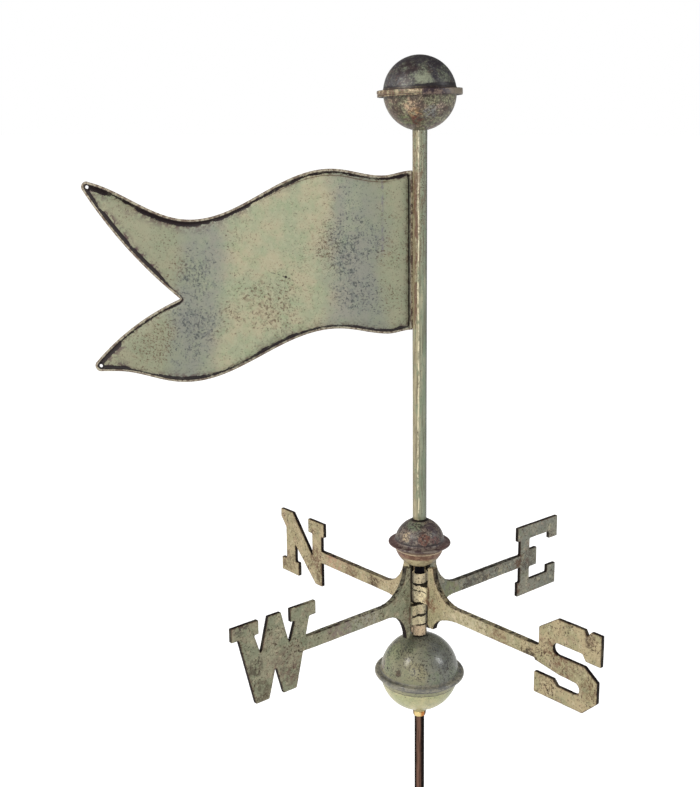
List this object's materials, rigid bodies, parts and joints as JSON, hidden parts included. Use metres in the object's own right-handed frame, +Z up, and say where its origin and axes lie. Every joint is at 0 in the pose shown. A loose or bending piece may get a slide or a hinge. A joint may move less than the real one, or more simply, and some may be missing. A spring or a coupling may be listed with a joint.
{
  "type": "weathervane",
  "caption": "Roof weathervane: a wavy swallow-tailed flag on a tube that turns freely on a rod, over copper balls and cast compass directionals with slab letters.",
  "frame": {"origin": "centre of the rod's flat lower end, where it goes into a roof mount", "axes": "+Z up along the rod, -X the way the flag flies at rest, +Y behind it as the picture looks at it"},
  "size_m": [0.6045, 0.433, 0.9646],
  "materials": {
    "copper_patina": "sheet copper under a pale green patina with brown speckle",
    "cast_patina": "cast brass under a pale green and beige patina with brown mottling",
    "tube_patina": "smooth tube under a thin green patina, still glossy",
    "brass": "bright and worn, patinated near its top",
    "dark_rod": "dark brown steel, slightly glossy"
  },
  "bodies": {
    "stand": {"rod": "dark_rod", "ferrule": "brass", "lower_ball": "copper_patina", "small_ball": "copper_patina", "directional_n": "cast_patina", "directional_e": "cast_patina", "directional_s": "cast_patina", "directional_w": "cast_patina"},
    "vane": {"vane_tube": "tube_patina", "flag": "copper_patina", "top_ball": "copper_patina"}
  },
  "joints": [
    {"name": "vane_turn", "type": "hinge", "parent": "stand", "child": "vane", "pos_m": [0, 0, 0.4], "axis": [0, 0, 1], "continuous": true}
  ]
}
